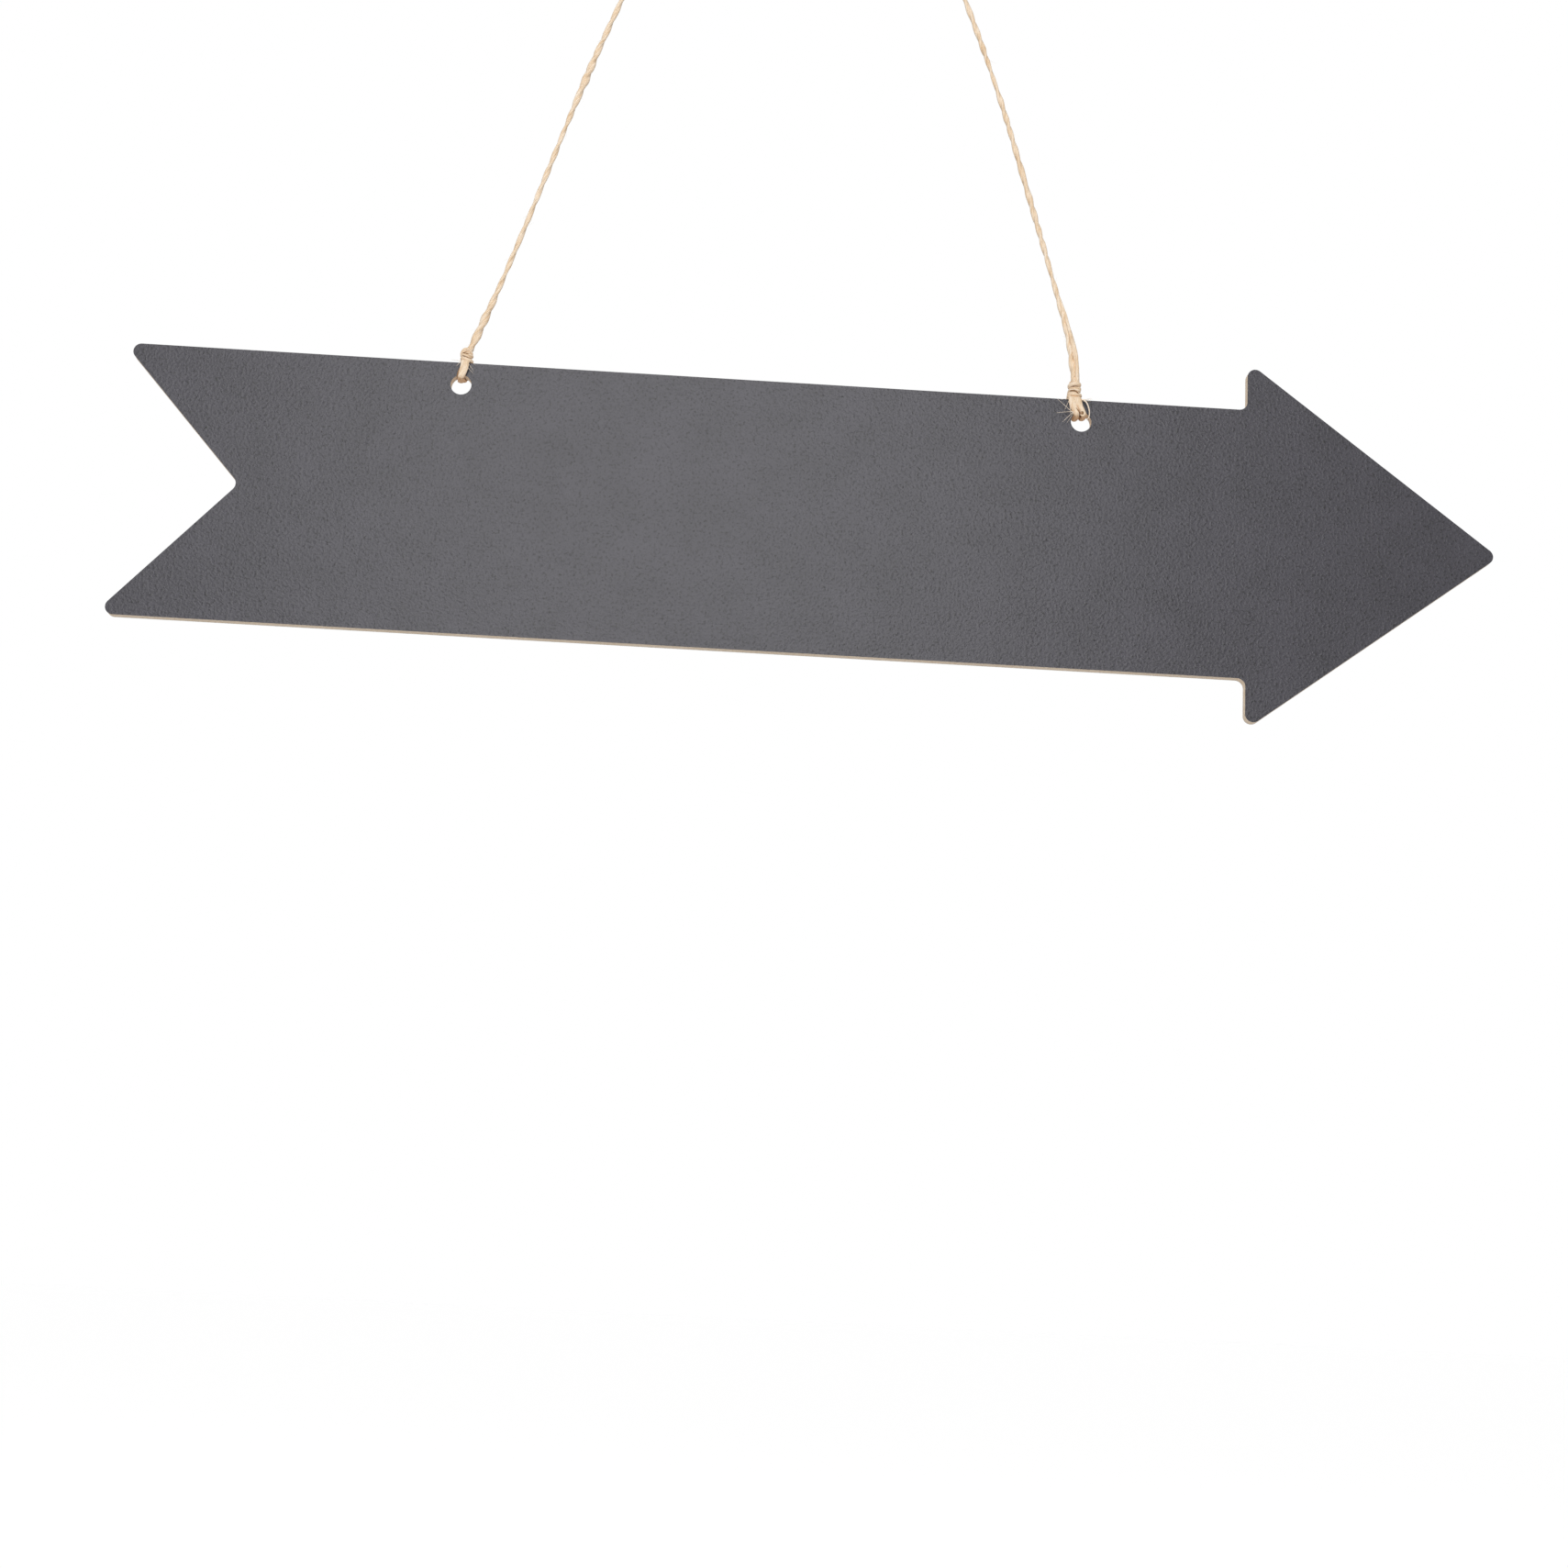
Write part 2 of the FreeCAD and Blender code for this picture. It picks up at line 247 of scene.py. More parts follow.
        fibre = add_node(tree, "ShaderNodeTexNoise", {},
                         {"Vector": place, "Scale": waves_per_metre(self.fibre_spacing_mm),
                          "Detail": 4.0, "Roughness": 0.7})
        fibre_mix = add_node(tree, "ShaderNodeMapRange", {"clamp": True},
                             {"Value": fibre.outputs["Fac"], "From Min": self.fibre_noise[0],
                              "From Max": self.fibre_noise[1], "To Min": 0.0,
                              "To Max": self.fibre_share})
        bare = add_node(tree, "ShaderNodeMix", {"data_type": "RGBA"},
                        {0: fibre_mix.outputs["Result"], 6: hex_colour(self.board_pale),
                         7: hex_colour(self.board_brown)})
        colour = add_node(tree, "ShaderNodeMix", {"data_type": "RGBA"},
                          {0: mask, 6: bare.outputs[2], 7: coat.outputs[2]})

        roughness = add_node(tree, "ShaderNodeMapRange", {"clamp": True},
                             {"Value": mask, "To Min": self.bare_roughness,
                              "To Max": self.coat_roughness})
        peel = add_node(tree, "ShaderNodeTexNoise", {},
                        {"Vector": place, "Scale": waves_per_metre(self.peel_spacing_mm),
                         "Detail": 1.5, "Roughness": 0.5, "Distortion": 0.4})
        bump = add_node(tree, "ShaderNodeBump", {},
                        {"Strength": 1.0, "Distance": self.peel_depth_mm * MM,
                         "Height": peel.outputs["Fac"]})
        surface = add_node(tree, "ShaderNodeBsdfPrincipled", {},
                           {"Base Color": colour.outputs[2], "IOR": self.coat_ior,
                            "Roughness": roughness.outputs["Result"],
                            "Normal": bump.outputs["Normal"]})
        add_node(tree, "ShaderNodeOutputMaterial", {},
                 {"Surface": surface.outputs["BSDF"]})
        return material


@dataclass(frozen=True)
class JuteTwine:
    """Natural jute spun loosely: long pale fibres with brown hollows between them.

    The fibres run along each ply, so the eye sees fine streaks that turn with the twist, a
    dry matt surface with a faint sheen and darker lines where the plies meet. Where the
    twine bears in the holes it is rubbed and browner, and it also carries painted shade there
    and where it lies close against the board.
    """

    pale: str = "#f6e5d0"
    middle: str = "#e6c9a6"
    hollow: str = "#bd976c"
    # Painted shade: the colour of the thin dark strands laid in the knots' grooves and gaps.
    painted_shade_colour: str = "#8f6840"
    # Rubbed wear and painted shade: browner inside the holes and where the jute lies close
    # against the board.
    rubbed_and_shaded: str = "#e0ae7c"
    rubbed_and_shaded_top_mm: float = -191.6
    rubbed_and_shaded_depth_mm: float = 1.8
    rubbed_and_shaded_fade_mm: float = 1.0
    rubbed_and_shaded_most: float = 0.7
    streaks_around: float = 10.0
    streak_length_mm: float = 4.0
    tone_length_mm: float = 9.0
    tone_weight: float = 0.45
    hollow_at: float = 0.46
    middle_at: float = 0.64
    pale_at: float = 0.9
    fibre_relief_mm: float = 0.06
    roughness: float = 0.78
    ior: float = 1.5
    sheen: float = 0.15

    def rubbed_and_shaded_share(self, tree: bpy.types.NodeTree) -> bpy.types.NodeSocket:
        """How far the jute is rubbed and darkened by painted shade: most inside the holes and
        close against the board, none above the board.

        Args:
            tree: the material's node tree.

        Returns:
            The share's socket, from 0 to its greatest share.
        """
        place = add_node(tree, "ShaderNodeTexCoord").outputs["Object"]
        parts = add_node(tree, "ShaderNodeSeparateXYZ", inputs={"Vector": place})
        away = add_node(tree, "ShaderNodeMath", {"operation": "ABSOLUTE"},
                        {0: parts.outputs["Y"]})
        near = add_node(tree, "ShaderNodeMapRange", {"clamp": True},
                        {"Value": away.outputs[0], "From Min": self.rubbed_and_shaded_depth_mm * MM,
                         "From Max": (self.rubbed_and_shaded_depth_mm + self.rubbed_and_shaded_fade_mm) * MM,
                         "To Min": self.rubbed_and_shaded_most, "To Max": 0.0})
        low = add_node(tree, "ShaderNodeMapRange", {"clamp": True},
                       {"Value": parts.outputs["Z"],
                        "From Min": (self.rubbed_and_shaded_top_mm - self.rubbed_and_shaded_fade_mm) * MM,
                        "From Max": self.rubbed_and_shaded_top_mm * MM, "To Min": 1.0, "To Max": 0.0})
        return add_node(tree, "ShaderNodeMath", {"operation": "MULTIPLY"},
                        {0: near.outputs["Result"], 1: low.outputs["Result"]}).outputs[0]

    def material(self) -> bpy.types.Material:
        """Builds the finish on the strands' own UV map: around the ply, then along it.

        Returns:
            The material for every jute piece.
        """
        material, tree = new_material("natural_jute")
        uv = add_node(tree, "ShaderNodeUVMap", {"uv_map": "along"}).outputs["UV"]
        streak_place = add_node(
            tree, "ShaderNodeMapping", {},
            {"Vector": uv, "Scale": (self.streaks_around,
                                     waves_per_metre(self.streak_length_mm), 1.0)})
        streak = add_node(tree, "ShaderNodeTexNoise", {},
                          {"Vector": streak_place.outputs["Vector"], "Scale": 1.0,
                           "Detail": 4.0, "Roughness": 0.65})
        tone_place = add_node(
            tree, "ShaderNodeMapping", {},
            {"Vector": uv, "Scale": (1.0, waves_per_metre(self.tone_length_mm), 1.0)})
        tone = add_node(tree, "ShaderNodeTexNoise", {},
                        {"Vector": tone_place.outputs["Vector"], "Scale": 1.0, "Detail": 2.0})
        both = add_node(tree, "ShaderNodeMath", {"operation": "MULTIPLY_ADD"},
                        {0: tone.outputs["Fac"], 1: self.tone_weight,
                         2: streak.outputs["Fac"]})
        ramp = add_node(tree, "ShaderNodeValToRGB", {}, {"Fac": both.outputs[0]})
        stops = ramp.color_ramp.elements
        stops[0].position, stops[0].color = self.hollow_at, hex_colour(self.hollow)
        stops[1].position, stops[1].color = self.pale_at, hex_colour(self.pale)
        stops.new(self.middle_at).color = hex_colour(self.middle)
        # Browner where it is rubbed in the holes, with painted shade inside the holes and close
        # against the board below its top edge.
        colour = add_node(tree, "ShaderNodeMix", {"data_type": "RGBA"},
                          {0: self.rubbed_and_shaded_share(tree), 6: ramp.outputs["Color"],
                           7: hex_colour(self.rubbed_and_shaded)})
        sideways = add_node(tree, "ShaderNodeSeparateXYZ", inputs={"Vector": uv})
        # Strands whose UV map is moved two across take the painted shade colour; those moved
        # four across take the pale fibre colour.
        for moved, shade in ((Tone.PAINTED_SHADE, self.painted_shade_colour), (Tone.PALE, self.pale)):
            chosen = add_node(tree, "ShaderNodeMath", {"operation": "GREATER_THAN"},
                              {0: sideways.outputs["X"], 1: moved.value - 0.5})
            colour = add_node(tree, "ShaderNodeMix", {"data_type": "RGBA"},
                              {0: chosen.outputs[0], 6: colour.outputs[2],
                               7: hex_colour(shade)})
        bump = add_node(tree, "ShaderNodeBump", {},
                        {"Strength": 0.8, "Distance": self.fibre_relief_mm * MM,
                         "Height": streak.outputs["Fac"]})
        surface = add_node(tree, "ShaderNodeBsdfPrincipled", {},
                           {"Base Color": colour.outputs[2], "Roughness": self.roughness,
                            "IOR": self.ior, "Sheen Weight": self.sheen,
                            "Sheen Roughness": 0.5,
                            "Normal": bump.outputs["Normal"]})
        add_node(tree, "ShaderNodeOutputMaterial", {},
                 {"Surface": surface.outputs["BSDF"]})
        return material


# Twine

class Tone(Enum):
    """A strand's colour, set by how far its UV map is moved sideways: plain jute, painted shade,
    or the pale colour of loose fibre.
    """

    PLAIN = 0.0
    PAINTED_SHADE = 2.0
    PALE = 4.0


@dataclass(frozen=True)
class Slub:
    """A stretch where the twine is thicker or thinner.

    Attributes:
        side: -1 on the left strand and 1 on the right one.
        height_mm: the height of its middle in the part's frame.
        reach_mm: how far it reaches up and down.
        swell_mm: what it adds to the diameter.
    """

    side: float
    height_mm: float
    reach_mm: float
    swell_mm: float


SLUBS = (
    Slub(-1, -97.0, 7.0, 0.75), Slub(-1, -115.0, 6.0, -0.3), Slub(-1, -161.0, 4.0, -0.3),
    Slub(-1, -180.0, 9.0, 0.8), Slub(-1, -62.0, 6.0, 0.3), Slub(-1, -30.0, 7.0, -0.2),
    Slub(1, -89.0, 6.0, -0.4), Slub(1, -115.0, 6.0, 0.2), Slub(1, -131.0, 4.0, 0.2),
    Slub(1, -151.0, 4.0, -0.3), Slub(1, -40.0, 8.0, 0.35), Slub(1, -182.0, 9.0, 0.4),
)


def smooth_line(points: list[Vector], spacing: float) -> list[Vector]:
    """Even points along the NURBS spline that has these control points.

    Args:
        points: control points in metres.
        spacing: how far apart the returned points are, in metres.

    Returns:
        Points along the spline, its two ends included.
    """
    data = bpy.data.curves.new("line", "CURVE")
    data.dimensions = "3D"
    spline = data.splines.new("NURBS")
    spline.points.add(len(points) - 1)
    for target, point in zip(spline.points, points):
        target.co = (*point, 1.0)
    spline.order_u = 3
    spline.use_endpoint_u = True
    spline.resolution_u = 24
    curve = bpy.data.objects.new("line", data)
    bpy.context.scene.collection.objects.link(curve)
    bpy.context.view_layer.update()
    mesh = bpy.data.meshes.new_from_object(
        curve.evaluated_get(bpy.context.evaluated_depsgraph_get()))
    raw = [vertex.co.copy() for vertex in mesh.vertices]
    bpy.data.meshes.remove(mesh)
    bpy.data.objects.remove(curve)
    bpy.data.curves.remove(data)
    return even_steps(raw, spacing)


def even_steps(raw: list[Vector], spacing: float) -> list[Vector]:
    """Resamples a polyline to equal steps.

    Args:
        raw: the polyline's points.
        spacing: the wanted step.

    Returns:
        Points at equal steps, the ends kept.
    """
    lengths = [0.0]
    for before, after in zip(raw, raw[1:]):
        lengths.append(lengths[-1] + (after - before).length)
    count = max(2, round(lengths[-1] / spacing))
    steps, index = [], 0
    for step in range(count + 1):
        target = lengths[-1] * step / count
        while index < len(raw) - 2 and lengths[index + 1] < target:
            index += 1
        share = (target - lengths[index]) / max(lengths[index + 1] - lengths[index], 1e-12)
        steps.append(raw[index].lerp(raw[index + 1], min(1.0, share)))
    return steps


@dataclass(frozen=True)
class Hub:
    """The axis that a strand bends round: a place on it and its direction."""

    place: Vector
    axis: Vector

    def away(self, point: Vector) -> Vector:
        """The way from the axis straight out to a point."""
        out = point - self.place
        return out - self.axis * out.dot(self.axis)


def carried_frames(line: list[Vector],
                   hub: Hub | None = None) -> list[tuple[Vector, Vector, Vector]]:
    """Tangent and two side directions at each point.

    Args:
        line: points along a smooth line.
        hub: the axis that the line bends round. With one, the first side direction points
            away from it. Without one, the directions are carried along without twisting.

    Returns:
        One (tangent, side, other side) for each point.
    """
    frames = []
    side = None
    for index in range(len(line)):
        ahead = line[min(index + 1, len(line) - 1)] - line[max(index - 1, 0)]
        tangent = ahead.normalized()
        if hub is not None:
            side = hub.away(line[index])
        elif side is None:
            side = tangent.orthogonal()
        side = (side - tangent * side.dot(tangent)).normalized()
        frames.append((tangent, side, tangent.cross(side)))
    return frames


def two_ply(angle: float) -> float:
    """Half the width of two plies that lie together, as a share of the twine's diameter.

    Args:
        angle: measured from the line through both plies' middles, in radians.

    Returns:
        The distance from the twine's middle to its surface.
    """
    ply, apart = 0.34, 0.16
    return apart * abs(math.cos(angle)) + math.sqrt(ply ** 2 - (apart * math.sin(angle)) ** 2)


@dataclass
class StrandMesh:
    """Collects tapering tubes into one mesh with a UV map around and along each.

    Attributes:
        vertices: the corners so far, in metres.
        faces: the faces so far, as corner numbers.
        uvs: one place on the UV map for each face corner.
        twine_sides: the corners of a section of twine.
        uneven_turn: how much the twist varies, as a share.
        turn_waves: how quickly the twist varies, in waves a metre.
        uneven_skin: how rough the surface is, as a share of its radius.
        skin_waves: how fine that roughness is, in waves a metre.
        tip_share: the square of the share of its width that a tapered end keeps.
        start_shift: how far a strand's fibres are moved along for each radian of its start.
        hair_steps: the lengths that a loose fibre is made of.
        hair_sides: the corners of a loose fibre's section.
        hair_thinning: how much thinner its tip is, as a share.
    """

    vertices: list = field(default_factory=list)
    faces: list = field(default_factory=list)
    uvs: list = field(default_factory=list)
    twine_sides: int = 20
    uneven_turn: float = 0.6
    turn_waves: float = 55.0
    uneven_skin: float = 0.12
    skin_waves: float = 420.0
    tip_share: float = 0.05
    start_shift: float = 0.13
    hair_steps: int = 7
    hair_sides: int = 4
    hair_thinning: float = 0.7

    def add_rings(self, rings: list[list[Vector]], along: list[float],
                  tone: Tone = Tone.PLAIN) -> None:
        """Adds one closed skin over a row of rings.

        Args:
            rings: the corners of each section, the same number in each.
            along: each ring's place along the UV map, in metres.
            tone: its colour: plain jute, painted shade or pale.
        """
        first, sides, shift = len(self.vertices), len(rings[0]), tone.value
        for ring in rings:
            self.vertices.extend(ring)
        for ring in range(len(rings) - 1):
            here, there = first + ring * sides, first + (ring + 1) * sides
            low, high = along[ring], along[ring + 1]
            for corner in range(sides):
                after = (corner + 1) % sides
                self.faces.append((here + corner, here + after, there + after,
                                   there + corner))
                start, stop = shift + corner / sides, shift + (corner + 1) / sides
                self.uvs.extend([(start, low), (stop, low), (stop, high), (start, high)])
        last = first + (len(rings) - 1) * sides
        self.faces.append(tuple(first + corner for corner in reversed(range(sides))))
        self.faces.append(tuple(last + corner for corner in range(sides)))
        self.uvs.extend([(shift + 0.5, along[0])] * sides + [(shift + 0.5, along[-1])] * sides)

    def add_twine(self, line: list[Vector], thickness: Callable[[Vector], float],
                  pitch: float, flat: float = 1.0, hub: Hub | None = None,
                  start_turn: float = 0.0, tapers: tuple[float, float] = (0.0, 0.0),
                  tone: Tone = Tone.PLAIN) -> None:
        """Adds two plies twisted together along a line, as one skin with two grooves.

        The section's corners turn with the plies, so the grooves and the fibres' streaks
        run along them.

        Args:
            line: even points along the twine.
            thickness: a function from a point to a diameter.
            pitch: one full turn of the plies, in metres.
            flat: its thickness away from the hub as a share of its width.
            hub: the axis that the line bends round, for a strand that is pressed flat.
            start_turn: the twist at the line's start, in radians.
            tapers: the lengths over which it thins out at the start and at the end, in
                metres, 0 for an end that stays thick.
            tone: its colour: plain jute, painted shade or pale.
        """
        sides = self.twine_sides
        step = (line[1] - line[0]).length
        rings, turn = [], start_turn
        for index, (point, (_, side, other)) in enumerate(zip(line, carried_frames(line, hub))):
            uneven = self.uneven_turn * noise.noise(point * self.turn_waves)
            turn += math.tau * step / pitch * (1.0 + uneven)
            width = thickness(point)
            for taper, count in zip(tapers, (index, len(line) - 1 - index)):
                if taper > 0.0:
                    width *= min(1.0, math.sqrt(self.tip_share + count * step / taper))
            ring = []
            for corner in range(sides):
                angle = math.tau * corner / sides
                radius = width * two_ply(angle)
                away = side * math.cos(angle + turn) * flat + other * math.sin(angle + turn)
                spot = point + away * radius
                ring.append(spot + away * radius * self.uneven_skin
                            * noise.noise(spot * self.skin_waves))
            rings.append(ring)
        start = self.start_shift * start_turn
        self.add_rings(rings, [start + index * step for index in range(len(line))], tone)

    def add_hair(self, start: Vector, heading: Vector, length: float, curl: float,
                 seed: random.Random, thickness: float) -> None:
        """Adds one loose fibre that bends away as it goes.

        Args:
            start: where it leaves the twine.
            heading: its first direction.
            length: its length in metres.
            curl: how strongly it turns.
            seed: the random source.
            thickness: its diameter at the root in metres.
        """
        steps, sides = self.hair_steps, self.hair_sides
        drift = Vector([seed.uniform(-1, 1) for _ in range(3)]) * curl
        point, direction = start.copy(), heading.normalized()
        line = [point.copy()]
        for _ in range(steps):
            direction = (direction + drift / steps).normalized()
            point = point + direction * (length / steps)
            line.append(point.copy())
        rings = []
        for index, (_, side, other) in enumerate(carried_frames(line)):
            radius = thickness / 2 * (1.0 - self.hair_thinning * index / steps)
            rings.append([line[index] + (side * math.cos(math.tau * corner / sides)
                                         + other * math.sin(math.tau * corner / sides)) * radius
                          for corner in range(sides)])
        shift = seed.uniform(0, 1)
        self.add_rings(rings, [shift + length * index / steps for index in range(steps + 1)],
                       Tone.PALE)

    def to_object(self, name: str, material: bpy.types.Material) -> bpy.types.Object:
        """Makes the mesh object, dressed and smooth.

        Args:
            name: the piece's name.
            material: its finish.

        Returns:
            The new object, at the origin.
        """
        mesh = bpy.data.meshes.new(name)
        mesh.from_pydata([tuple(vertex) for vertex in self.vertices], [], self.faces)
        layer = mesh.uv_layers.new(name="along")
        layer.data.foreach_set("uv", [value for pair in self.uvs for value in pair])
        mesh.shade_smooth()
        mesh.materials.append(material)
        mesh.update()
        piece = bpy.data.objects.new(name, mesh)
        bpy.context.scene.collection.objects.link(piece)
        return piece


@dataclass
class TwineLoop:
    """The loop between the knots, with the loose fibres along it."""

    material: bpy.types.Material
    route: LoopRoute = field(default_factory=LoopRoute)
    diameter_mm: float = 1.6
    mean_mm: float = 1.7
    pitch_mm: float = 13.0
    step_mm: float = 0.32
    uneven_mm: float = 0.2
    uneven_waves: float = 60.0
    hair_seed: int = 4
    hair_count: int = 110
    hair_margin: int = 6
    hair_root_mm: float = 0.5
    hair_lean: float = 1.8
    hair_lengths_mm: tuple[float, float] = (1.0, 3.0)
    hair_curl: float = 0.6
    hair_thickness_mm: float = 0.06

    def thickness(self, point: Vector) -> float:
        """The twine's diameter at a point, with its slubs.

        Args:
            point: a place on the line in metres.

        Returns:
            The diameter in metres.
        """
        width = self.mean_mm + self.uneven_mm * noise.noise(point * self.uneven_waves)
        for slub in SLUBS:
            if slub.side * point.x > 0:
                away = (point.z / MM - slub.height_mm) / slub.reach_mm
                width += slub.swell_mm * math.exp(-away * away)
        return width * MM

    def build(self) -> tuple[bpy.types.Object, list[Vector]]:
        """Builds the twine with its loose fibres.

        Returns:
            The twine and its centreline.
        """
        line = smooth_line(self.route.points(), self.step_mm * MM)
        strands = StrandMesh()
        strands.add_twine(line, self.thickness, self.pitch_mm * MM)
        self.add_loose_fibres(strands, line)
        return strands.to_object("twine_two_ply", self.material), line

    def add_loose_fibres(self, strands: StrandMesh, line: list[Vector]) -> None:
        """Scatters short loose fibres along the twine.

        Args:
            strands: the twine's mesh.
            line: the twine's centreline.
        """
        seed = random.Random(self.hair_seed)
        frames = carried_frames(line)
        for _ in range(self.hair_count):
            index = seed.randrange(self.hair_margin, len(line) - self.hair_margin)
            tangent, side, other = frames[index]
            angle = seed.uniform(0, math.tau)
            out = side * math.cos(angle) + other * math.sin(angle)
            along = tangent * seed.choice((-1.0, 1.0))
            strands.add_hair(line[index] + out * self.hair_root_mm * MM,
                             along * self.hair_lean + out,
                             seed.uniform(*self.hair_lengths_mm) * MM, self.hair_curl, seed,
                             self.hair_thickness_mm * MM)


@dataclass(frozen=True)
class Strand:
    """A length of twine in a knot, its sizes and places in the hole's own millimetres."""

    points: list
    width_mm: float
    flat: float = 0.7
    hub_place: tuple | None = None
    hub_axis: tuple = (1.0, 0.0, 0.0)
    tapers_mm: tuple[float, float] = (0.0, 0.0)
    tone: Tone = Tone.PLAIN
    uneven: float = 0.12
    uneven_waves: float = 300.0

    def thickness(self, point: Vector) -> float:
        """The width at a point in metres, a little uneven."""
        return self.width_mm * (1.0 + self.uneven * noise.noise(point * self.uneven_waves)) * MM


@dataclass(frozen=True)
class Hair:
    """A loose fibre that stands off a knot, placed in the hole's own millimetres.

    It is drawn thicker than a real jute fibre, so that it shows.
    """

    root: tuple
    heading: tuple
    length_mm: float
    curl: float
    thickness_mm: float = 0.13


@dataclass
class Knot:
    """One knot with its strands through the hole, its turns and its loose fibres."""

    material: bpy.types.Material
    name: str
    side: Side
    strands: list[Strand]
    hairs: list[Hair]
    pitch_mm: float = 30.0
    step_mm: float = 0.16
    first_turn: float = 1.0
    turn_between: float = 0.3

    def build(self) -> bpy.types.Object:
        """Builds the knot as one piece.

        Returns:
            The knot.
        """
        mesh = StrandMesh()
        for number, strand in enumerate(self.strands):
            line = smooth_line(self.side.place(strand.points), self.step_mm * MM)
            hub = None
            if strand.hub_place:
                hub = Hub(self.side.place([strand.hub_place])[0], Vector(strand.hub_axis))
            mesh.add_twine(line, strand.thickness, self.pitch_mm * MM, strand.flat, hub,
                           start_turn=self.first_turn + self.turn_between * number,
                           tapers=tuple(length * MM for length in strand.tapers_mm),
                           tone=strand.tone)
        seed = random.Random(len(self.name))
        for hair in self.hairs:
            mesh.add_hair(self.side.place([hair.root])[0], Vector(hair.heading),
                          hair.length_mm * MM, hair.curl, seed, hair.thickness_mm * MM)
        return mesh.to_object(self.name, self.material)


@dataclass(frozen=True)
class Winding:
    """Turns of twine round a knot's leaning axis, pulled flat.

    Pairs hold the value of the first turn and of the last.

    Attributes:
        middle: the middle of the first turn, from the hole's centre in millimetres.
        lean: how far the axis leans to the right, in degrees.
        radius: from the axis to the twine's middle, in millimetres.
        turns: how many turns.
        pitch: how far down each turn goes, in millimetres.
        tilt: how far the front of a turn falls from left to right, in degrees.
        start: the angle it starts at, in degrees from the right, front first.
        width: the twine's width in millimetres.
        flat: its thickness as a share of its width.
        tapers_mm: the lengths over which it thins out at its two ends.
        points_a_turn: the control points in one turn.
    """

    middle: tuple[float, float, float]
    lean: float
    radius: tuple[float, float]
    turns: float
    pitch: float
    tilt: tuple[float, float]
    start: float
    width: float
    flat: float = 0.8
    tapers_mm: tuple[float, float] = (1.6, 1.6)
    points_a_turn: int = 10

    def strand(self) -> Strand:
        """Winds the turns from the first one down.

        Returns:
            The wound strand, in the hole's own millimetres.
        """
        steps = round(self.turns * self.points_a_turn)
        leaning = Matrix.Rotation(math.radians(self.lean), 3, "Y")
        points = []
        for index in range(steps + 1):
            share = index / steps
            radius = self.radius[0] + (self.radius[1] - self.radius[0]) * share
            tilt = self.tilt[0] + (self.tilt[1] - self.tilt[0]) * share
            reach = radius / math.cos(math.pi / self.points_a_turn)
            angle = math.radians(self.start) + math.tau * self.turns * share
            across = reach * math.cos(angle)
            fall = -self.pitch * self.turns * share - across * math.tan(math.radians(tilt))
            spot = leaning @ Vector((across, -reach * math.sin(angle), fall))
            points.append(tuple(Vector(self.middle) + spot))
        return Strand(points, self.width, self.flat, self.middle,
                      tuple(leaning @ Vector((0.0, 0.0, 1.0))), self.tapers_mm)


def hole_loop(top: float, foot: tuple[float, float], width: float, flat: float) -> Strand:
    """A strand from inside the knot down the front, through the hole and up the back.

    Args:
        top: its ends' place across from the hole's centre, in millimetres.
        foot: its place across and above the centre inside the hole, in millimetres.
        width: its width in millimetres.
        flat: its thickness as a share of its width.

    Returns:
        The looped strand.
    """
    # Distance from the mid-plane, height and share of the way across, down to the hole
    path = ((0.3, 9.3, 0.0), (0.6, 8.2, 0.0), (1.35, 7.45, 0.0), (2.6, 6.75, 0.05),
            (2.3, 4.8, 0.25), (2.25, 3.4, 0.57), (2.25, foot[1] + 0.05, 0.9),
            (1.1, foot[1], 1.0))
    front = [(top + (foot[0] - top) * share, -out, height) for out, height, share in path]
    back = [(across, -depth, height) for across, depth, height in reversed(front)]
    return Strand(front + [(foot[0], 0.0, foot[1])] + back, width, flat, (foot[0], 0.0, 5.0))


